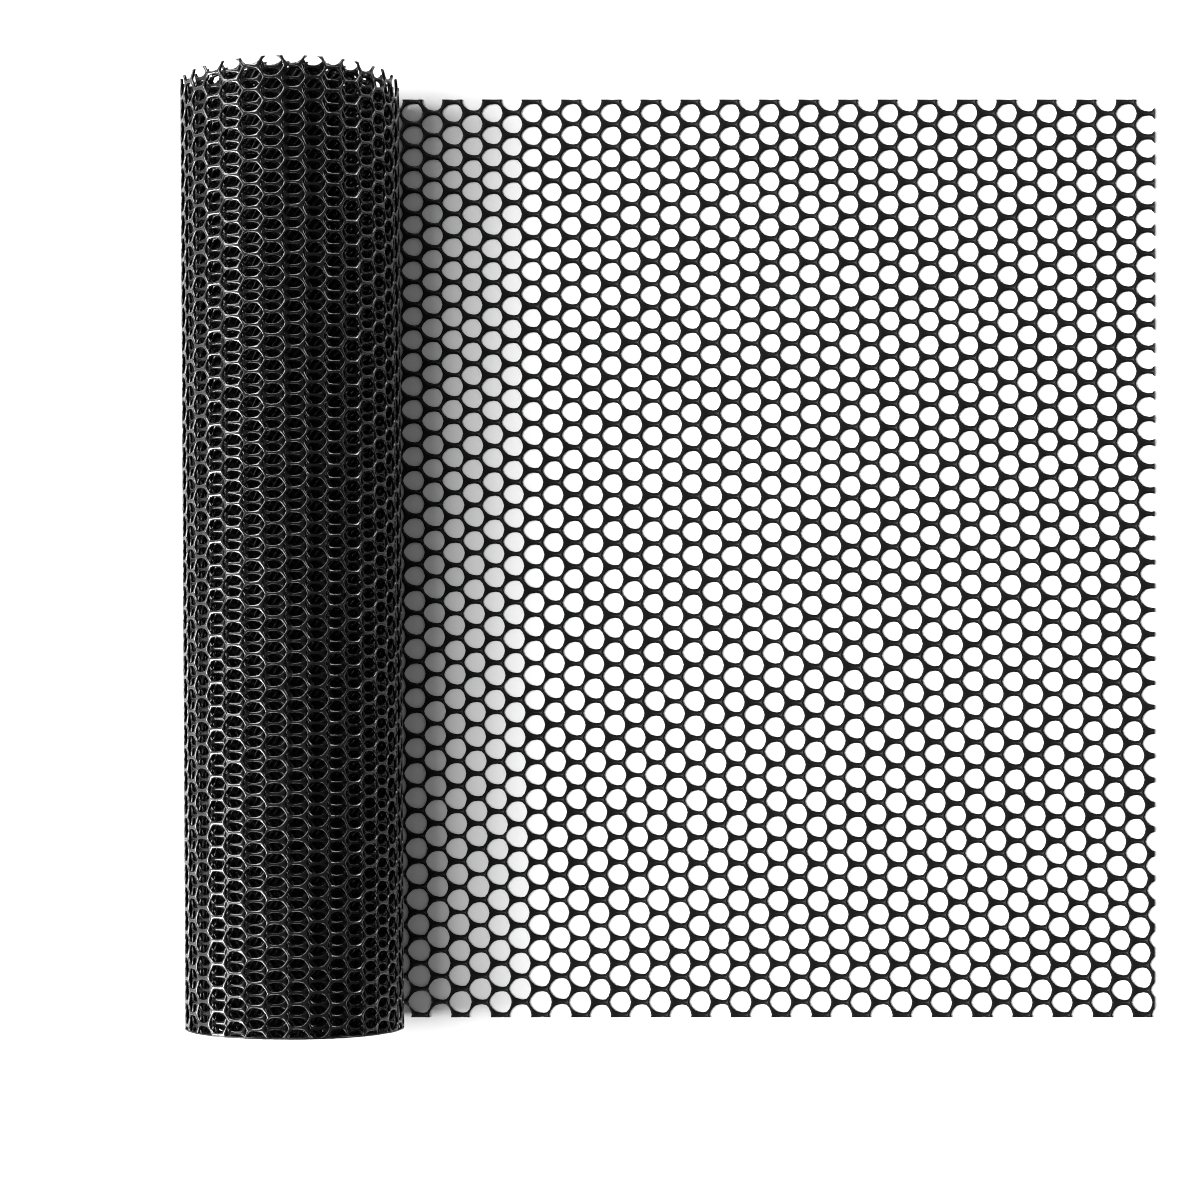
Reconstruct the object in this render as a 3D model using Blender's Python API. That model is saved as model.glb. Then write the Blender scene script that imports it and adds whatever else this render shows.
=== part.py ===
"""Roll of black plastic mesh fencing, lying on its side with its loose end unrolled flat on the floor.

Metres, +Z up. The roll's axis lies along Y and the loose end runs out along +X. The origin is the middle of
the part's box, on the floor. The net comes in along the floor from +X, touches the roll at its lowest line and
winds up the -X side, over the top and round again, each turn a little further in than the one before.
"""

import math

import bmesh
import bpy
import numpy as np

# The net
NET_WIDTH = 0.400  # across the net, which is the roll's length
NET_LENGTH = 3.05  # of the whole net, wound and loose
NET_THICKNESS = 0.0017
ROWS = 38  # hexagonal cells across the loose end's width
COLUMN_PITCH = 0.00867  # from one column of cells to the next, along the net
HOLE_SHARE = 0.80  # how wide a hole is, as a share of its cell
ROW_DRIFT = 0.06  # the rows are this share closer at +Y, and wider at -Y, than in the middle

# The roll
ROLL_RADIUS = 0.0472  # to the outside of the outermost turn, where the loose end leaves it
TURN_PITCH = 0.0020  # from one turn to the next
PRESSED_FLAT = 0.0006  # how far the roll's weight flattens its underside
ROLL_SIDES = 96

# The loose end
LOOSE_LENGTH = 0.3715  # from the roll's lowest line to the cut end
COARSENESS = 2  # each cell here stands for this many of the net's cells, each way
CUT_COLUMNS = 17  # whole columns of holes, counted back from the cut end
CLEARANCE = 0.0003  # between the two solids

# A cell's corners and its hole's, in columns and rows from its middle
CORNER_SIDE = 2 / 3  # the corners at the cell's own height
CORNER_TOP = 1 / 3  # the corners at its top and bottom

PLASTIC = {"name": "black_plastic", "colour": (0.014, 0.014, 0.015, 1.0), "roughness": 0.38}


def clear_objects():
    for old in list(bpy.data.objects):
        bpy.data.objects.remove(old, do_unlink=True)


def plastic():
    """The net's one material: black, half glossy plastic."""
    material = bpy.data.materials.new(PLASTIC["name"])
    material.use_nodes = True
    shader = material.node_tree.nodes["Principled BSDF"]
    shader.inputs["Base Color"].default_value = PLASTIC["colour"]
    shader.inputs["Roughness"].default_value = PLASTIC["roughness"]
    shader.inputs["Metallic"].default_value = 0.0
    return material


def solid_from_outlines(name, outlines, direction, material):
    """An object made from closed flat outlines, of which all but the first are holes, pushed along direction."""
    bm = bmesh.new()
    edges = []
    for outline in outlines:
        corners = [bm.verts.new(point) for point in outline]
        edges += [bm.edges.new((a, b)) for a, b in zip(corners, corners[1:] + corners[:1])]
    bmesh.ops.triangle_fill(bm, edges=edges, use_beauty=True, use_dissolve=False)
    pushed = bmesh.ops.extrude_face_region(bm, geom=list(bm.faces), use_keep_orig=True)
    moved = [item for item in pushed["geom"] if isinstance(item, bmesh.types.BMVert)]
    bmesh.ops.translate(bm, verts=moved, vec=direction)
    bmesh.ops.recalc_face_normals(bm, faces=list(bm.faces))
    mesh = bpy.data.meshes.new(name)
    bm.to_mesh(mesh)
    bm.free()
    mesh.shade_smooth()
    mesh.set_sharp_from_angle(angle=math.radians(30))
    mesh.materials.append(material)
    made = bpy.data.objects.new(name, mesh)
    bpy.context.scene.collection.objects.link(made)
    return made


def turns_wound():
    """How many turns hold the rest of the net: length = 2 pi n r - pi pitch n^2, solved for n."""
    wound = NET_LENGTH - LOOSE_LENGTH
    r = ROLL_RADIUS - NET_THICKNESS / 2
    return (r - math.sqrt(r * r - TURN_PITCH * wound / math.pi)) / TURN_PITCH


def round_the_roll(turned, radius):
    """Points across the roll, seen along Y, at angles turned from its lowest line up its -X side.

    The underside is pressed flat: on the floor where the outermost turn touches it, and on the loose end beyond.
    """
    axis_height = ROLL_RADIUS - PRESSED_FLAT
    x = -radius * np.sin(turned)
    z = axis_height - radius * np.cos(turned)
    on_loose_end = (turned > math.pi) & (x >= -CLEARANCE)
    lowest = np.where(on_loose_end, NET_THICKNESS + CLEARANCE, 0.0)
    return x, np.maximum(z, lowest)


def roll_outlines():
    """The wound net's section: the outside of its outermost turn, and the inside of its innermost one."""
    around = np.linspace(0, 2 * math.pi, ROLL_SIDES + 1)
    outside = ROLL_RADIUS - TURN_PITCH * around / (2 * math.pi)
    turns = turns_wound()
    inner_end = 2 * math.pi * (turns % 1)
    last_turn = inner_end - 2 * math.pi + around
    inside = ROLL_RADIUS - NET_THICKNESS - TURN_PITCH * (math.floor(turns) + last_turn / (2 * math.pi))
    return round_the_roll(around, outside), round_the_roll(last_turn, inside)


def wound_roll(shift, material):
    """The wound length: one hollow form whose outside and inside are spirals, each with its one step."""
    outlines = []
    for x, z in roll_outlines():
        outlines.append([(shift + a, -NET_WIDTH / 2, b) for a, b in zip(x, z)])
    return solid_from_outlines("wound_roll", outlines, (0, NET_WIDTH, 0), material)


def net_point(column, row):
    """Where a place in the coarse net lies, in columns back from the cut end (0 or less) and rows from +Y.

    The rows start closer together at +Y and grow wider towards -Y.
    """
    share = row * COARSENESS / ROWS
    share += ROW_DRIFT * (share * share - share)
    return LOOSE_LENGTH + column * COLUMN_PITCH * COARSENESS, NET_WIDTH * (0.5 - share)


def hole(column, row):
    """One hexagonal hole, anticlockwise in columns and rows."""
    side, top, tall = HOLE_SHARE * CORNER_SIDE, HOLE_SHARE * CORNER_TOP, HOLE_SHARE / 2
    corners = [(side, 0), (top, tall), (-top, tall), (-side, 0), (-top, -tall), (top, -tall)]
    return [(column + a, row + b) for a, b in corners]


def edge_notch(column, rows, at_far_edge, half_cell):
    """The open cell that the net's long edge cuts through, from left to right along that edge.

    A half cell is cut through its middle. A whole one has only its outermost bar cut away.
    """
    side, top, tall = HOLE_SHARE * CORNER_SIDE, HOLE_SHARE * CORNER_TOP, HOLE_SHARE / 2
    if half_cell:
        points = [(-side, 0), (-top, tall), (top, tall), (side, 0)]
    else:
        mouth = side - (side - top) * 0.5 / tall
        points = [(-mouth, 0), (-side, 0.5), (-top, 0.5 + tall), (top, 0.5 + tall), (side, 0.5), (mouth, 0)]
    return [(column + a, rows - b if at_far_edge else b) for a, b in points]


def end_notch(row):
    """The open half cell at the cut end, where the cut goes through the middle of the bars."""
    side, top, tall = HOLE_SHARE * CORNER_SIDE, HOLE_SHARE * CORNER_TOP, HOLE_SHARE / 2
    return [(0, row - tall), (-top, row - tall), (-side, row), (-top, row + tall), (0, row + tall)]


def loose_outlines():
    """The loose end's outline and holes, in the coarse net's columns and rows.

    Columns whose cells reach the edges alternate with columns that are half a row lower, as in the real net.
    The strip beside and under the roll stays uncut.
    """
    rows = ROWS // COARSENESS
    columns = range(-CUT_COLUMNS, 0)
    lowered = {column: column % 2 == 0 for column in range(-CUT_COLUMNS, 1)}
    near_edge = [p for c in columns for p in edge_notch(c, rows, False, lowered[c])]
    far_edge = [p for c in columns for p in edge_notch(c, rows, True, lowered[c])]
    corner_near = edge_notch(0, rows, False, True)[:2]
    corner_far = edge_notch(0, rows, True, True)[:2]
    end = [p for row in range(1, rows) for p in end_notch(row)]
    tall = HOLE_SHARE / 2
    outline = near_edge + corner_near + [(0, tall)] + end + [(0, rows - tall)] + corner_far[::-1] + far_edge[::-1]
    holes = []
    for column in columns:
        first = 1 if lowered[column] else 1.5
        count = rows - 1 if lowered[column] else rows - 2
        holes += [hole(column, first + k) for k in range(count)]
    return outline, holes


def loose_end(shift, material):
    """The unrolled length: a flat sheet, cut through as a net, from just beside the roll's lowest line."""
    outline, holes = loose_outlines()
    start = [(CLEARANCE, -NET_WIDTH / 2), (CLEARANCE, NET_WIDTH / 2)]
    flat = [start + [net_point(*p) for p in outline]] + [[net_point(*p) for p in h] for h in holes]
    outlines = [[(shift + x, y, 0.0) for x, y in points] for points in flat]
    return solid_from_outlines("loose_end", outlines, (0, 0, NET_THICKNESS), material)


def main():
    clear_objects()
    material = plastic()
    (outer_x, _), _ = roll_outlines()
    shift = -(float(outer_x.min()) + LOOSE_LENGTH) / 2
    wound_roll(shift, material)
    loose_end(shift, material)


main()
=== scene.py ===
import math
import bmesh
import bpy
import numpy as np
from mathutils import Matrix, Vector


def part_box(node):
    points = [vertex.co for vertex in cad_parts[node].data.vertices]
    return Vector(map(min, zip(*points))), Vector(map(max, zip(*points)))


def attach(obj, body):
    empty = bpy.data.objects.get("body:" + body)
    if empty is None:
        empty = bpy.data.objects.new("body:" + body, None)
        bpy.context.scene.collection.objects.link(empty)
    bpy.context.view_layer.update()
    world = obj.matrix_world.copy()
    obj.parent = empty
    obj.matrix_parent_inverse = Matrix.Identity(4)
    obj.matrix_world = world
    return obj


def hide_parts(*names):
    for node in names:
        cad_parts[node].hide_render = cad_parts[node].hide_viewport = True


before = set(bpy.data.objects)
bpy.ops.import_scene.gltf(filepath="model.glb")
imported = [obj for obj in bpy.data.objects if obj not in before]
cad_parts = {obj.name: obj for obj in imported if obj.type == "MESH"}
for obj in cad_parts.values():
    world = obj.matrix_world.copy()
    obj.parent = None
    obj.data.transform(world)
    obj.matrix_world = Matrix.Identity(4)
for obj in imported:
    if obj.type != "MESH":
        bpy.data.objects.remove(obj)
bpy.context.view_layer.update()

rollLow, rollHigh = [np.array(corner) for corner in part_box("wound_roll")]
looseHigh = np.array(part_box("loose_end")[1])
netWidth = float(rollHigh[1] - rollLow[1])
print("frame loaded")


# The net is one lattice of six-sided cells. A place on it is (column, row, height). Cells stand at every
# whole column, half a row lower in even ones. Row 0 is the outermost bars at +Y, and rows count towards -Y.
# Height runs from -1 to 1, and a little over on the lumps.
cell = {
    "thickness": 0.0014,
    "slope": 0.012,          # how far a bar's ends lie off its middle, one up and one down, in rows
    "holeSlope": 0.003,      # and how far the holes' outline follows them
    "unevenSize": 0.016,     # spread of the holes' size
    "unevenPlace": 0.010,    # and of their place, in pitches
    "unevenMost": 2,         # the most that chance may give, in spreads
    "widerTall": 0.4,        # the share of a hole's extra width that its height gets too
    "strandHigh": 1.0,       # a strand's height between two nodes
    "webHigh": 0.80,         # the height of the web at a bar's end with the lower column, which sinks
    "nibHigh": 1.12,         # and of the small lump at its end with the higher one
    "spareRows": 0.75,       # how far past the outermost bars cells are made, before they are cut
}
# A strand's section from the middle of its underside round the hole's edge to the middle of its top, as
# (share of the way from the hole's edge to the middle, height, whether the edge there is sharp)
sections = {
    "fine": [(1.0, -1.0, False), (0.35, -0.95, False), (0.0, 0.42, True), (0.30, 0.82, False),
             (1.0, 1.0, False)],
    "plain": [(1.0, -1.0, False), (0.0, -0.10, False), (0.30, 0.80, False), (1.0, 0.90, False)],
    "far": [(1.0, -1.0, False), (0.0, 0.0, False), (1.0, 1.0, False)],
}


# Six straight sides, each split into parts, as (column, row) from the cell's middle: a corner, plus a share
# of the way to the next one
def cellSides(parts):
    corners = np.array([(2, 0), (1, 1.5), (-1, 1.5), (-2, 0), (-1, -1.5), (1, -1.5)]) / 3
    following = np.roll(corners, -1, axis=0)
    share = np.arange(parts)[None, :, None] / parts
    return (corners[:, None] + (following - corners)[:, None] * share).reshape(-1, 2)


# The hole at angle t: (holeWide cos t, holeTall sin t), both times 1 - pull cos 3t + corner cos 6t, and the
# rows less holeSlope cos 3t. A wider hole is 1 + wider times as wide and 1 + widerTall wider times as tall.
def cellHole(t, wider, shape):
    bulge = 1 - shape["pull"] * np.cos(3 * t) + shape["corner"] * np.cos(6 * t)
    wide = shape["holeWide"] * (1 + wider[:, None]) * np.cos(t) * bulge
    tall = shape["holeTall"] * (1 + cell["widerTall"] * wider[:, None]) * np.sin(t) * bulge
    return np.stack([wide, tall - cell["holeSlope"] * np.cos(3 * t)], axis=-1)


# How high a strand's middle line stands at each point round a cell: strandHigh along the sides, and webs and
# lumps in turn at the corners
def middleHeights(parts):
    high = np.full(6 * parts, cell["strandHigh"])
    high[::parts] = cell["webHigh"]
    high[parts::2 * parts] = cell["nibHigh"]
    return high


# The cells' middles, as (column, row): every whole column and row, and half a row more in even columns
def cellMiddles(columns, rows):
    places = np.meshgrid(np.arange(*columns), np.arange(-1, math.ceil(rows) + 2), indexing="ij")
    middle = np.stack(places, axis=-1).reshape(-1, 2).astype(float)
    middle[:, 1] += np.where(middle[:, 0] % 2 == 0, 0.5, 0.0)
    spare = cell["spareRows"]
    return middle[(middle[:, 1] > -spare) & (middle[:, 1] < rows + spare)]


# The points of all the cells' sides, numbered so that cells share them: where each number comes first, and
# every point's number. 3 parts times its column and 2 parts times its row are whole, and tell a point.
def sharedPoints(middle, sides, parts):
    rowsInColumn = 100003    # more than the rows' numbers reach
    corner = np.rint((middle[:, None] + sides) * [3 * parts, 2 * parts]).astype(np.int64)
    key = corner[..., 0] * rowsInColumn + corner[..., 1]
    _, first, number = np.unique(key, return_index=True, return_inverse=True)
    return first, number.reshape(len(middle), len(sides))


# A block of the net. Each strand is its section carried round two cells, which share the middle lines. A
# point is the hole's edge plus a share of the way to the middle line, and above 0 its height follows the
# middle line's.
def netBlock(columns, shape, parts, section, seed, wider):
    sides = cellSides(parts)
    around = len(sides)
    t = 2 * np.pi * np.arange(around) / around
    middle = cellMiddles(columns, shape["rows"])
    count = len(middle)
    chance = np.random.default_rng(seed)
    most = cell["unevenMost"]
    size = 1 + cell["unevenSize"] * chance.standard_normal((count, 1, 1)).clip(-most, most)
    shift = cell["unevenPlace"] * chance.standard_normal((count, 1, 2)).clip(-most, most)
    hole = middle[:, None] + shift + cellHole(t, wider(middle), shape) * size
    side = middle[:, None] + (sides - np.stack([0 * t, cell["slope"] * np.cos(3 * t)], axis=1))
    high = middleHeights(parts)[None].repeat(count, 0)
    first, number = sharedPoints(middle, sides, parts)

    points, rings, sharp, start = [], [], [], 0
    for share, level, isSharp in section:
        place = (hole + (side - hole) * share).reshape(-1, 2)
        lift = (level * np.where(level > 0, 1 - (1 - high) * share, 1.0)).reshape(-1)
        index = np.arange(count * around).reshape(count, around)
        if share == 1.0:
            place, lift, index = place[first], lift[first], number
        points.append(np.column_stack([place, lift]))
        rings.append(index + start)
        sharp.append(np.full(len(place), isSharp))
        start += len(place)
    faces = [np.stack([a, b, np.roll(b, -1, 1), np.roll(a, -1, 1)], axis=-1).reshape(-1, 4)
             for a, b in zip(rings, rings[1:])]
    return np.concatenate(points), np.concatenate(faces), np.concatenate(sharp)


# The mesh's points as rows of x, y and z
def pointsOf(mesh):
    places = np.empty(len(mesh.vertices) * 3, np.float32)
    mesh.vertices.foreach_get("co", places)
    return places.reshape(-1, 3).astype(float)


# Volume inside: the sum over the faces of mean height times area as seen from above. Below 0 is inside out.
def volumeOf(points, faces):
    a, b, c, d = [points[faces[:, k]] for k in range(4)]
    fromAbove = np.cross(c - a, d - b)[:, 2] / 2
    return (fromAbove * (a + b + c + d)[:, 2] / 4).sum()


# Smooth, but for edges whose points are both marked sharp
def netMesh(name, points, faces, sharp):
    if volumeOf(points, faces) < 0:
        faces = faces[:, ::-1]
    mesh = bpy.data.meshes.new(name)
    mesh.from_pydata(points, [], faces)
    mesh.shade_smooth()
    ends = np.empty(len(mesh.edges) * 2, np.int32)
    mesh.edges.foreach_get("vertices", ends)
    edges = mesh.attributes.new("sharp_edge", "BOOLEAN", "EDGE")
    edges.data.foreach_set("value", sharp[ends.reshape(-1, 2)].all(axis=1))
    return mesh


# Flat faces over the open loops of these edges, facing away
def closeCut(work, edges, away):
    for face in bmesh.ops.holes_fill(work, edges=edges, sides=0)["faces"]:
        face.smooth = False
        face.normal_update()
        if face.normal.dot(away) < 0:
            face.normal_flip()


# Cuts the mesh straight across at each (point, direction to cut away), and closes the cut strands
def cutNet(mesh, cuts):
    onPlane = 1e-7           # a point this near to a cut lies on it
    work = bmesh.new()
    work.from_mesh(mesh)
    for point, away in cuts:
        every = work.verts[:] + work.edges[:] + work.faces[:]
        made = bmesh.ops.bisect_plane(work, geom=every, dist=onPlane, plane_co=point, plane_no=away,
                                      clear_outer=True)
        edges = [item for item in made["geom_cut"]
                 if isinstance(item, bmesh.types.BMEdge) and item.is_boundary]
        closeCut(work, edges, away)
    work.to_mesh(mesh)
    work.free()


# How many edges have a face on one side alone
def openEdges(mesh):
    work = bmesh.new()
    work.from_mesh(mesh)
    count = sum(edge.is_boundary for edge in work.edges)
    work.free()
    return count


# A thin eight-sided strand along x, from low to high, its middle at y: the ring times half its width and
# thickness, at parts + 1 even steps, and a cap of quads on each end
def strandAlong(low, high, parts, y, wide, thickness):
    ring = np.array([(-1, -0.4), (-0.6, -1), (0.6, -1), (1, -0.4),
                     (1, 0.4), (0.6, 1), (-0.6, 1), (-1, 0.4)])
    along = np.linspace(low, high, parts + 1)
    points = np.column_stack([along.repeat(8), np.tile(y + ring[:, 0] * wide / 2, parts + 1),
                              np.tile(ring[:, 1] * thickness / 2, parts + 1)])
    k = np.arange(8)
    side = np.stack([k, k + 8, (k + 1) % 8 + 8, (k + 1) % 8], axis=1)
    sides = (side[None] + 8 * np.arange(parts)[:, None, None]).reshape(-1, 4)
    cap = np.array([(0, 1, 2, 3), (0, 3, 4, 7), (4, 5, 6, 7)])
    return points, np.concatenate([sides, cap, cap[:, ::-1] + 8 * parts])


# Adds these points and faces to the mesh
def joinMesh(mesh, points, faces):
    added = netMesh("added", points, faces, np.zeros(len(points), bool))
    work = bmesh.new()
    work.from_mesh(mesh)
    work.from_mesh(added)
    work.to_mesh(mesh)
    work.free()
    bpy.data.meshes.remove(added)


# An object that holds this data, put in the scene
def newObject(name, data):
    made = bpy.data.objects.new(name, data)
    bpy.context.scene.collection.objects.link(made)
    return made


# The plastic's glossy skin, by the height on a strand
skin = {
    "rise": 4,               # how much gloss each unit of height gives, past where it starts
    "shoulder": 0.82,        # up to here it may be whole
    "top": 0.90,             # and from here no more than topMost
    "topMost": 0.35,
}


# Puts the mesh's points at their places. For the plastic it keeps where each is on the flat net as netPlace
# (length along the net, distance across it, height), and its gloss: rise (height - glossFrom), from 0 to 1,
# or to topMost on top.
def placePiece(mesh, places, flat, name, glossFrom):
    mesh.vertices.foreach_set("co", places.astype(np.float32).ravel())
    high = flat[:, 2] * 2 / cell["thickness"]
    netPlace = np.column_stack([flat[:, 0], flat[:, 1], high]).astype(np.float32)
    mesh.attributes.new("netPlace", "FLOAT_VECTOR", "POINT").data.foreach_set("vector", netPlace.ravel())
    most = np.interp(high, [skin["shoulder"], skin["top"]], [1, skin["topMost"]])
    gloss = np.clip((high - glossFrom) * skin["rise"], 0, most).astype(np.float32)
    mesh.attributes.new("gloss", "FLOAT", "POINT").data.foreach_set("value", gloss)
    mesh.update()
    piece = newObject(name, mesh)
    mesh.calc_loop_triangles()
    print(name, len(mesh.loop_triangles), "triangles,", openEdges(mesh), "open edges")
    return piece


# Cuts, each as (point, direction to cut away)
upperCut = ((0, netWidth / 2, 0), (0, 1, 0))
lowerCut = ((0, -netWidth / 2, 0), (0, -1, 0))


def endCuts(low, high):
    return [((low, 0, 0), (-1, 0, 0)), ((high, 0, 0), (1, 0, 0))]


# The whole columns between two places, with spare ones at both ends for the cuts to take off
def columnsOver(low, high, pitch):
    return math.floor(low / pitch) - 1, math.ceil(high / pitch) + 2


# The roll is a spiral of net. It starts at its lowest line, goes up on the -X side, and winds inwards.
roll = {
    "radius": 0.0472,        # from the axis to the outside, where it starts
    "turnPitch": 0.0020,     # from one turn to the next
    "pressed": 0.0006,       # how far each turn is flattened at its lowest line
}
axisX = float(rollHigh[0]) - roll["radius"] + 0.75 * roll["turnPitch"]   # +X is three quarters of a turn in
axisZ = roll["radius"] - roll["pressed"]


# The loose end, flat on the floor
loose = {
    "parts": 3,              # how many a cell's side is split into
    "holeWide": 0.508,       # half a hole's width, in column pitches
    "holeTall": 0.405,       # half its height, in row pitches
    "corner": 0.024,         # how far its outline leans to six corners
    "pull": 0.047,           # and how far it is pulled to three of them: left, upper right and lower right
    "rows": 38,
    "edge": 0.098,           # rows from the outermost bars to the cut edge
    "pitch": 0.008637,       # from one column to the next
    "columnZero": 0.3233,    # from the cut end back to column 0, at the +Y edge
    "drift": 0.080,          # rows are this share closer than the mean at +Y and wider at -Y, by the roll
    "driftFar": 0.035,       # the same, at the cut end
    "lean": 0.0033,          # how far the columns lean towards +X at the -Y edge, by the roll
    "leanFar": 0.0041,       # and how much more at the cut end
    "leanPower": 2.2,        # how late down the width they lean
    "leanRoom": 0.009,       # columns start this much further back, to fill the corner that leaning leaves
    "wave": 0.00018,         # low waves in the lines of cells
    "columnWaves": (2.3, 1.1),   # how many of them the columns' places have down the width and along
    "rowWaves": (0.6, 1.7),      # and the rows' places
    "rowWaveStart": 1.0,     # where the rows' waves start, in radians
    "wider": 0.085,          # holes grow this much wider in the corner at -Y by the roll,
    "widerColumns": 45,      # and less and less over this many columns
    "glossFrom": 0.86,       # the height on a strand where its gloss starts
    "pastLowest": 0.0004,    # from the roll's lowest line to where the loose end starts
    "plasticShare": 0.36,    # of the area
}


# How much wider a hole is: wider (1 - column / widerColumns) (row / rows)^2
def cornerWider(middle):
    near = np.clip(1 - middle[:, 0] / loose["widerColumns"], 0, 1)
    return loose["wider"] * near * (middle[:, 1] / loose["rows"]) ** 2


# Rows on the floor: the share of the width down to a row is q + drift (q^2 - q), where q is its share of all
# the rows
def acrossLoose(column, row):
    reach = np.clip(column * loose["pitch"] / loose["columnZero"], 0, 1)
    q = (row + loose["edge"]) / (loose["rows"] + 2 * loose["edge"])
    drift = loose["drift"] + (loose["driftFar"] - loose["drift"]) * reach
    return q + drift * (q ** 2 - q)


# Net on the floor: x is pitch times the column, plus lean times a power of the share down the width. y goes
# down by the rows' share of the width. Both have a low wave, which dies out at the edges in y.
def layLoose(net):
    column, row, height = net.T
    down = acrossLoose(column, row)
    reach = column * loose["pitch"] / loose["columnZero"]
    lean = (loose["lean"] + loose["leanFar"] * reach) * np.maximum(down, 0) ** loose["leanPower"]
    wavesDown, wavesAlong = loose["columnWaves"]
    x = looseHigh[0] - loose["columnZero"] + loose["pitch"] * column + lean
    x = x + loose["wave"] * np.sin(2 * np.pi * (wavesDown * down + wavesAlong * reach))
    wavesDown, wavesAlong = loose["rowWaves"]
    wave = np.sin(2 * np.pi * (wavesDown * down + wavesAlong * reach) + loose["rowWaveStart"])
    y = netWidth * (0.5 - down) + loose["wave"] * wave * np.sin(np.pi * np.clip(down, 0, 1))
    return np.stack([x, y, cell["thickness"] / 2 * (1 + height)], axis=1)


# A piece of the loose end from x = low to x = high, laid on the floor and then cut
def looseNet(name, low, high, seed):
    first = low - looseHigh[0] + loose["columnZero"] - loose["leanRoom"]
    last = high - looseHigh[0] + loose["columnZero"]
    columns = columnsOver(first, last, loose["pitch"])
    net, faces, sharp = netBlock(columns, loose, loose["parts"], sections["fine"], seed, cornerWider)
    mesh = netMesh(name, layLoose(net), faces, sharp)
    cutNet(mesh, [upperCut, lowerCut] + endCuts(low, high))
    places = pointsOf(mesh)
    flat = np.column_stack([axisX - places[:, 0], places[:, 1], places[:, 2] - cell["thickness"] / 2])
    piece = placePiece(mesh, places, flat, name, loose["glossFrom"])
    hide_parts("loose_end")
    high - low
    loose["plasticShare"] * netWidth * (high - low)
    return piece


# Two halves, which meet at a straight line
middleX = (looseHigh[0] + axisX) / 2
loosePieces = {
    "loose_net_by_the_roll": {"low": axisX + loose["pastLowest"], "high": middleX, "seed": 3},
    "loose_net_cut_end": {"low": middleX, "high": float(looseHigh[0]), "seed": 4},
}
looseParts = [looseNet(name, **settings) for name, settings in loosePieces.items()]
print("loose end laid")


# The net in the roll
wound = {
    "holeWide": 0.524,
    "holeTall": 0.438,
    "corner": 0.012,
    "pull": 0.034,
    "length": 3.05 - 0.3715,   # all the net, less the loose end
    "rows": 41.495,          # from the outermost bars at +Y to the cut at -Y
    "stub": 0.29,            # rows from the outermost bars to the solids' end at +Y
    "pitch": 0.00867,        # from one column to the next
    "start": -0.0463,        # length from the lowest line to column 0
    "wander": 0.0043,        # how far the columns run ahead over the crest and behind at the lowest line
    "slack": 0.0065,         # how much less net there is from the first crest to the second
    "ripple": 0.00012,       # half the depth of the turns' shallow dents,
    "rippleWaves": 3,        # how many of them a turn has,
    "rippleShift": 0.7,      # and how much further on they lie at each turn, in radians
    "sway": 0.00025,         # how far the turns lie to one side,
    "swaySlow": 2.3,         # in waves this many turns long
    "lean": 0.0055,          # the roll lies turned this much, in metres a metre, its -Y end towards +X
    "edgeStrand": 0.0007,    # width of the thin strand along the -Y end,
    "edgeHigh": 0.95,        # its thickness, as a share of the net's,
    "edgeStep": 0.003,       # and the length of its parts
    "plasticShare": 0.32,    # of the area
}
# Rows slip towards -Y, most at some degrees round from the lowest line and less until they are reach degrees
# away: by this many metres, and by the share fan more at the -Y end and less at the +Y end
slips = [
    {"degrees": 98, "reach": 88, "metres": 0.0049, "fan": 0.48},
    {"degrees": 262, "reach": 66, "metres": 0.0033, "fan": 0.48},
    {"degrees": 278, "reach": 32, "metres": 0.0030, "fan": 0.0},
]


# No hole in the roll is made wider
def evenWide(middle):
    return np.zeros(len(middle))


# Length of net to about the end of this many turns, counted from the outside: 2 pi radius turns - pi
# turnPitch turns^2
def turnLength(turns):
    return roll["radius"] * 2 * math.pi * turns - roll["turnPitch"] * math.pi * turns ** 2


# The angle round the roll's axis, from the lowest line, at which a length of net is used up:
# length = r angle - turnPitch angle^2 / 4 pi, with r at the middle of the net's thickness
def turnAt(length):
    r = roll["radius"] - cell["thickness"] / 2
    left = np.sqrt(r ** 2 - roll["turnPitch"] * length / np.pi)
    return (r - left) * 2 * np.pi / roll["turnPitch"]


# Length along the net to a column: start - pitch column - wander cos(angle) - slack s. The share s goes from
# 0 at the first crest to 1 at the second, as (1 - cos((angle - pi) / 2)) / 2. It is solved by repeating it.
def alongWound(column):
    rounds = 6               # enough for it to settle
    even = wound["start"] - wound["pitch"] * column
    length = even
    for step in range(rounds):
        angle = turnAt(length)
        between = (1 - np.cos(np.clip(angle - np.pi, 0, 2 * np.pi) / 2)) / 2
        length = even - wound["wander"] * np.cos(angle) - wound["slack"] * between
    return length


# The rows' slip towards -Y at a length: for each of the slips, a raised cosine of the angle round the roll
def slipAt(length, y):
    degrees = np.degrees(turnAt(length)) % 360
    total = 0
    for slip in slips:
        far = np.clip((degrees - slip["degrees"]) / slip["reach"], -1, 1)
        slipped = slip["metres"] * (0.5 + 0.5 * np.cos(np.pi * far))
        total = total + slipped * (1 - slip["fan"] * y * 2 / netWidth)
    return total


# The net laid flat, rows slipped. A bar keeps the slip of its own middle, so it stays level, and the strands
# between bars take up the difference.
def flatWound(net):
    column, row, height = net.T
    rowPitch = netWidth / (wound["rows"] + wound["stub"])
    y = netWidth / 2 - (row + wound["stub"]) * rowPitch
    nearest = np.round(column)
    past = np.abs(column - nearest) - 1 / 3
    level = nearest + np.sign(column - nearest) * np.clip(past * 3, 0, None)
    y = y - slipAt(alongWound(level), y)
    return np.stack([alongWound(column), y, cell["thickness"] / 2 * height], axis=1)


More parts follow.
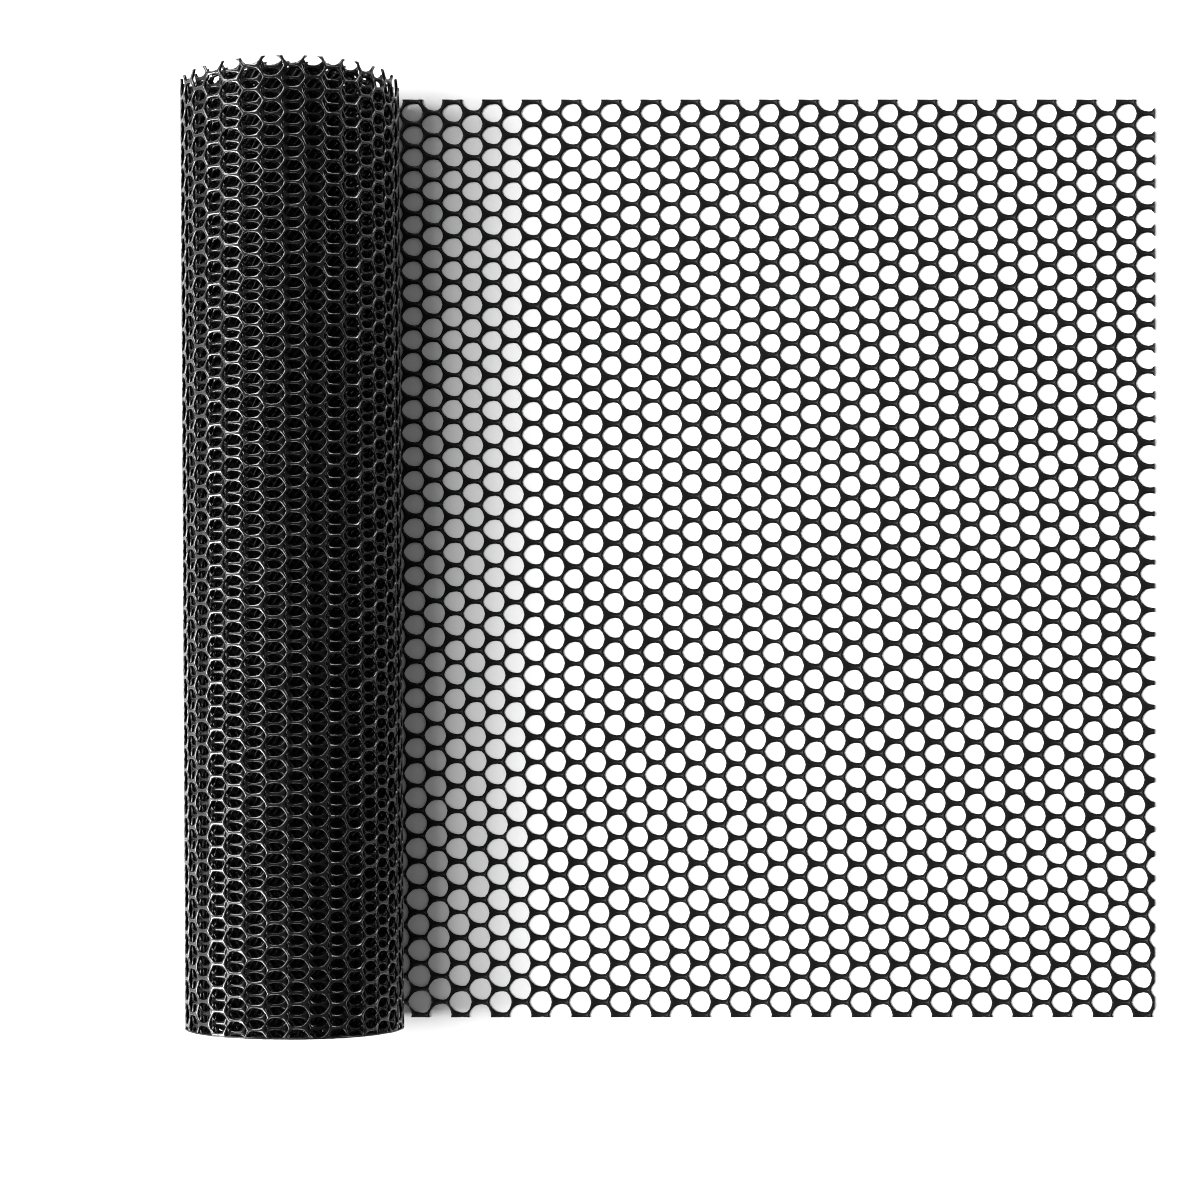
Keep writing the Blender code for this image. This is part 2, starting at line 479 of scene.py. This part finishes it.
# Winds flat net (length, across, height): x = axisX - r sin(angle), z = axisZ - r cos(angle), no lower than
# the turns below it at the lowest line. r is the radius to the net's middle, less turnPitch a turn, less
# ripple times 1 - cos(rippleWaves angle + rippleShift whole turns). y sways by the sine of angle / swaySlow.
# The ripple and the sway grow over the first turn.
def windNet(flat):
    length, y, height = flat.T
    angle = turnAt(length)
    turns = angle / (2 * np.pi)
    grown = np.clip(turns, 0, 1)
    phase = wound["rippleWaves"] * angle + wound["rippleShift"] * np.round(turns)
    r = roll["radius"] - cell["thickness"] / 2 - roll["turnPitch"] * turns
    r = r - wound["ripple"] * (1 - np.cos(phase)) * grown
    z = axisZ - r * np.cos(angle)
    z = np.maximum(z, cell["thickness"] / 2 * cell["nibHigh"] + roll["turnPitch"] * np.round(turns))
    x = axisX - (r + height) * np.sin(angle) - wound["lean"] * y
    y = y + wound["sway"] * np.sin(angle / wound["swaySlow"]) * grown
    return np.stack([x, y, z - height * np.cos(angle)], axis=1)


# A piece of the wound net between two lengths along it. At +Y it is cut while still in columns and rows,
# horn rows past the outermost bars. The other cuts are made when it is flat, and then it is wound.
def woundNet(name, low, high, parts, section, seed, glossFrom, horn):
    first = wound["start"] - wound["wander"] - high
    last = wound["start"] + wound["wander"] - low
    columns = columnsOver(first, last, wound["pitch"])
    net, faces, sharp = netBlock(columns, wound, parts, sections[section], seed, evenWide)
    mesh = netMesh(name, net, faces, sharp)
    cutNet(mesh, [((0, -horn, 0), (0, -1, 0))])
    mesh.vertices.foreach_set("co", flatWound(pointsOf(mesh)).astype(np.float32).ravel())
    cutNet(mesh, [lowerCut] + endCuts(low, high))
    edgeParts = math.ceil((high - low) / wound["edgeStep"])
    edgeY = (wound["edgeStrand"] - netWidth) / 2
    joinMesh(mesh, *strandAlong(low, high, edgeParts, edgeY, wound["edgeStrand"],
                                cell["thickness"] * wound["edgeHigh"]))
    flat = pointsOf(mesh)
    piece = placePiece(mesh, windNet(flat), flat, name, glossFrom)
    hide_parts("wound_roll")
    high - low
    wound["plasticShare"] * netWidth * (high - low)
    return piece


# The turns that show are finer. Parts is how many a cell's side is split into, and horn is in rows.
woundPieces = {
    "outer_turn": {"low": turnLength(0), "high": turnLength(1), "parts": 3, "section": "plain", "seed": 10,
                   "glossFrom": 0.40, "horn": 0.38},
    "second_turn": {"low": turnLength(1), "high": turnLength(2), "parts": 3, "section": "plain", "seed": 11,
                    "glossFrom": 0.65, "horn": 0.29},
    "third_to_fifth_turn": {"low": turnLength(2), "high": turnLength(5), "parts": 2, "section": "far",
                            "seed": 12, "glossFrom": 0.93, "horn": 0.20},
    "sixth_to_tenth_turn": {"low": turnLength(5), "high": turnLength(10), "parts": 1, "section": "far",
                            "seed": 13, "glossFrom": 0.93, "horn": 0.20},
    "inmost_turns": {"low": turnLength(10), "high": wound["length"], "parts": 2, "section": "far",
                     "seed": 14, "glossFrom": 0.78, "horn": 0.20},
}
woundParts = [woundNet(name, **settings) for name, settings in woundPieces.items()]
print("roll wound")


# Shader maths as expressions: wraps a socket, and an operator on it adds a Math node
class Socket:
    def __init__(self, tree, link=None):
        self.tree = tree
        self.link = link

    # Adds a node of this type: its settings first, such as a ramp's stops, then its sockets' values or links
    def add(self, kind, settings, sockets, result=0):
        node = self.tree.nodes.new("ShaderNode" + kind)
        for key, setting in settings.items():
            if key == "stops":
                for stop, (position, grey) in zip(node.color_ramp.elements, setting):
                    stop.position = position
                    stop.color = (grey, grey, grey, 1)
            else:
                setattr(node, key, setting)
        for key, value in sockets.items():
            if isinstance(value, Socket):
                self.tree.links.new(value.link, node.inputs[key])
            else:
                node.inputs[key].default_value = value
        return Socket(self.tree, node.outputs[result])

    def maths(self, operation, first, second):
        return self.add("Math", {"operation": operation}, {0: first, 1: second})

    def __add__(self, other):
        return self.maths("ADD", self, other)

    def __sub__(self, other):
        return self.maths("SUBTRACT", self, other)

    def __rsub__(self, other):
        return self.maths("SUBTRACT", other, self)

    def __mul__(self, other):
        return self.maths("MULTIPLY", self, other)

    __radd__ = __add__
    __rmul__ = __mul__

    # 1 where it is over the limit, and 0 elsewhere
    def above(self, limit):
        return self.maths("GREATER_THAN", self, limit)

    # From 0 at the first of two values to 1 at the second
    def ramp(self, span):
        return self.add("ValToRGB", {"stops": [(span[0], 0.0), (span[1], 1.0)]}, {0: self})

    # Two colours, mixed by this as the factor. A Mix node's colours are its inputs 6 and 7 and its output 2.
    def mix(self, under, over):
        settings = {"data_type": "RGBA", "clamp_factor": True}
        return self.add("Mix", settings, {"Factor": self, 6: under, 7: over}, 2)


# Black extruded plastic: dull sides, a glossy skin on the strands' shoulders, a painted sheen and dust on
# the tops, painted shade on the inner turns, scuffed ridges that also carry a painted highlight line,
# painted glints on the small lumps, faint flow lines along the net, and fine pits
plasticLook = {
    "black": (0.0012, 0.0012, 0.0013, 1),
    # painted sheen: strand tops get this lighter colour and their sides stay near black, standing in for
    # light on the tops
    "paintedTopSheen": (0.0070, 0.0070, 0.0072, 1),
    "paintedTopSheenHigh": (0.60, 0.84),        # the heights on a strand between which the painted top sheen comes in
    "insideFrom": (0.290, 0.568),    # metres along the net to the second and third turns, which get painted shade inside the roll: they lose this share of the painted top sheen, each after the one before
    "insideShadeShare": (0.5, 0.7),       # they lose this share of the wear, each after the one before
    "dusty": (0.0120, 0.0117, 0.0114, 1),
    "dust": 0.35,                    # how much of the dusty colour its thickest patches show
    "dustPatch": (0.42, 0.72),       # the values of the patches between which dust comes in
    "dustGrain": 1.6,                # how much the grain breaks it up,
    "dustLess": 0.3,                 # and how much it takes away
    # scuffs on the ridges, and also a painted highlight line along each strand's crest
    "scuffed": (0.0270, 0.0270, 0.0275, 1),
    "crestScuffAndSheenHigh": (0.955, 1.0),     # the heights between which scuffs and a painted highlight line come in
    "scuffedGrain": 0.8,             # their share that comes with the grain,
    "crestScuffAndSheenEven": 0.3,              # and the share that doesn't
    # painted glint: the small lumps are lightened to stand in for tiny highlights
    "paintedGlint": (0.1000, 0.1000, 0.1010, 1),
    "paintedGlintFrom": 1.04,              # the height on the small lumps from which a painted glint lightens them,
    "paintedGlintRise": 14,                # and how much more for each unit above it
    "patch": {"Scale": 28.0, "Detail": 3.0},
    "grain": {"Scale": 900.0, "Detail": 2.0},
    "flow": {"Scale": 1.0, "Detail": 2.0},
    "flowScale": (90.0, 1400.0, 0.6),   # the flow lines' own scale along, across and up
    "roughTop": 0.34,
    "roughSide": 0.50,               # added on the sides,
    "roughGrain": 0.16,              # by the grain
    "roughDust": 0.3,                # and by dust
    "reliefGrain": 0.6,              # shares of the relief
    "reliefFlow": 0.4,
    "bumpHeight": 0.00007,
    "bumpStrength": 0.55,
    "ior": 1.49,
    "specular": 0.06,                # of the plastic below its skin
    "skin": 0.95,                    # weight of the glossy skin, and its roughness
    "skinRough": 0.13,
}


def blackPlastic():
    look = plasticLook
    material = bpy.data.materials.new("blackPlastic")
    material.use_nodes = True
    tree = material.node_tree
    start = Socket(tree)
    netPlace = start.add("Attribute", {"attribute_name": "netPlace"}, {}, "Vector")
    gloss = start.add("Attribute", {"attribute_name": "gloss"}, {}, "Fac")
    length = start.add("SeparateXYZ", {}, {0: netPlace}, "X")
    height = start.add("SeparateXYZ", {}, {0: netPlace}, "Z")
    onPiece = start.add("TexCoord", {}, {}, "Object")
    patch = start.add("TexNoise", {}, {"Vector": onPiece, **look["patch"]})
    grain = start.add("TexNoise", {}, {"Vector": onPiece, **look["grain"]})
    stretched = start.add("VectorMath", {"operation": "MULTIPLY"}, {0: netPlace, 1: look["flowScale"]})
    flow = start.add("TexNoise", {}, {"Vector": stretched, **look["flow"]})

    # painted sheen: lighter tops and darker sides, by the height on a strand
    paintedTopSheen = height.ramp(look["paintedTopSheenHigh"])
    # painted shade: the turns deeper in the roll lose part of the painted top sheen, so they are darker
    for insideFrom, paintedShadeShare in zip(look["insideFrom"], look["insideShadeShare"]):
        paintedTopSheen = paintedTopSheen * (1 - length.above(insideFrom) * paintedShadeShare)
    dust = patch.ramp(look["dustPatch"]) * (grain * look["dustGrain"] - look["dustLess"]) * look["dust"]
    # scuffs and a painted highlight line on the crests
    scuffed = height.ramp(look["crestScuffAndSheenHigh"]) * (grain * look["scuffedGrain"] + look["crestScuffAndSheenEven"])
    # painted glints on the small lumps
    paintedGlint = (height - look["paintedGlintFrom"]) * look["paintedGlintRise"]
    colour = paintedTopSheen.mix(look["black"], look["paintedTopSheen"])
    colour = (dust * paintedTopSheen).mix(colour, look["dusty"])
    colour = scuffed.mix(colour, look["scuffed"])
    colour = paintedGlint.mix(colour, look["paintedGlint"])
    rough = look["roughTop"] + (1 - paintedTopSheen) * look["roughSide"] + grain * look["roughGrain"]
    rough = rough + dust * look["roughDust"]
    relief = grain * look["reliefGrain"] + flow * look["reliefFlow"]
    bump = {"Strength": look["bumpStrength"], "Distance": look["bumpHeight"], "Height": relief}
    normal = start.add("Bump", {}, bump)

    shader = tree.nodes["Principled BSDF"]
    shader.inputs["IOR"].default_value = look["ior"]
    shader.inputs["Specular IOR Level"].default_value = look["specular"]
    shader.inputs["Coat Roughness"].default_value = look["skinRough"]
    tree.links.new((gloss * look["skin"]).link, shader.inputs["Coat Weight"])
    tree.links.new(colour.link, shader.inputs["Base Color"])
    tree.links.new(rough.link, shader.inputs["Roughness"])
    tree.links.new(normal.link, shader.inputs["Normal"])
    return material


plastic = blackPlastic()
for piece in looseParts + woundParts:
    piece.data.materials.append(plastic)
    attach(piece, "root")
print("net dressed")


# The photograph's view: straight down, with its own floor scale
view = {
    "pixels": 1200,
    "floorPixel": 0.0004362,   # metres on the floor to a pixel
    "eyeHigh": 1.387,
    "underEye": (550, 697),    # the pixel straight below the camera
    "cutEndPixel": 1154,       # where the loose end's cut shows across the picture,
    "middleRowPixel": 558.5,   # and the middle of the net's width down it
    "sensor": 36.0,            # in mm
    "clipStart": 0.01,
}
camera = newObject("camera", bpy.data.cameras.new("camera"))
camera.location = (looseHigh[0] + (view["underEye"][0] - view["cutEndPixel"]) * view["floorPixel"],
                   (view["middleRowPixel"] - view["underEye"][1]) * view["floorPixel"], view["eyeHigh"])
camera.data.sensor_width = view["sensor"]
camera.data.lens = view["sensor"] * view["eyeHigh"] / (view["floorPixel"] * view["pixels"])
camera.data.shift_x = 0.5 - view["underEye"][0] / view["pixels"]
camera.data.shift_y = view["underEye"][1] / view["pixels"] - 0.5
camera.data.clip_start = view["clipStart"]
bpy.context.scene.camera = camera

floorReach = 4               # metres from the middle to each side
floorCorners = [(floorReach * x, floorReach * y, 0) for x, y in ((-1, -1), (1, -1), (1, 1), (-1, 1))]
floorMesh = bpy.data.meshes.new("floor")
floorMesh.from_pydata(floorCorners, [], [(0, 1, 2, 3)])
floor = newObject("floor", floorMesh)
paperLook = {"Base Color": (0.9, 0.9, 0.9, 1), "Roughness": 0.9, "Specular IOR Level": 0.0}
paper = bpy.data.materials.new("whitePaper")
paper.use_nodes = True
for key, value in paperLook.items():
    paper.node_tree.nodes["Principled BSDF"].inputs[key].default_value = value
floorMesh.materials.append(paper)

# Studio lights, placed as seen from the roll: degrees around from +X, degrees up, metres away, width and
# height in metres, and power. The floor lights give the plain light and the soft shadow, but show in no
# gloss. The gloss lights show in the gloss alone.
floorLights = {
    "keyHigh": {"around": 180, "up": 56.5, "away": 8.0, "size": (2.2, 6.2), "power": 795},
    "keyLow": {"around": 180, "up": 47.5, "away": 8.0, "size": (2.2, 3.55), "power": 415},
    "overhead": {"around": 180, "up": 80, "away": 8.0, "size": (2.2, 2.4), "power": 45},
}
glossLights = {
    "lowLeft": {"around": 142, "up": 24, "away": 2.5, "size": (2.1, 0.9), "power": 145},
    "lowNear": {"around": 218, "up": 26, "away": 2.5, "size": (1.6, 0.9), "power": 68},
    "upperEnd": {"around": 94, "up": 30, "away": 2.5, "size": (1.2, 0.9), "power": 44},
    "lowerEnd": {"around": 266, "up": 30, "away": 2.5, "size": (1.2, 0.9), "power": 38},
    "left": {"around": 200, "up": 8, "away": 2.5, "size": (1.8, 0.6), "power": 190},
    "right": {"around": 30, "up": 21, "away": 2.5, "size": (0.8, 0.8), "power": 52},
}
skyStrength = 0.22
rollMiddle = np.array([axisX, 0.0, axisZ])


# A light that faces the roll's middle and stands away (cos up cos around, cos up sin around, sin up) from it
def softLight(name, inGloss, around, up, away, size, power):
    lamp = bpy.data.lights.new(name, "AREA")
    lamp.shape = "RECTANGLE"
    lamp.size, lamp.size_y = size
    lamp.energy = power
    light = newObject(name, lamp)
    turned, raised = math.radians(around), math.radians(up)
    flatAway = away * math.cos(raised)
    fromRoll = [flatAway * math.cos(turned), flatAway * math.sin(turned), away * math.sin(raised)]
    light.location = rollMiddle + fromRoll
    light.rotation_euler = (math.pi / 2 - raised, 0, turned + math.pi / 2)
    light.visible_glossy = inGloss
    light.visible_diffuse = not inGloss


for lights, inGloss in ((floorLights, False), (glossLights, True)):
    for name, settings in lights.items():
        softLight(name, inGloss, **settings)

world = bpy.data.worlds.new("studio")
bpy.context.scene.world = world
world.use_nodes = True
world.node_tree.nodes["Background"].inputs["Color"].default_value = (1, 1, 1, 1)
world.node_tree.nodes["Background"].inputs["Strength"].default_value = skyStrength
world.cycles_visibility.glossy = False
bpy.context.scene.view_settings.view_transform = "Standard"
bpy.context.scene.cycles.filter_width = 1.0   # in pixels, for a sharp picture
print("camera, floor and lights set")
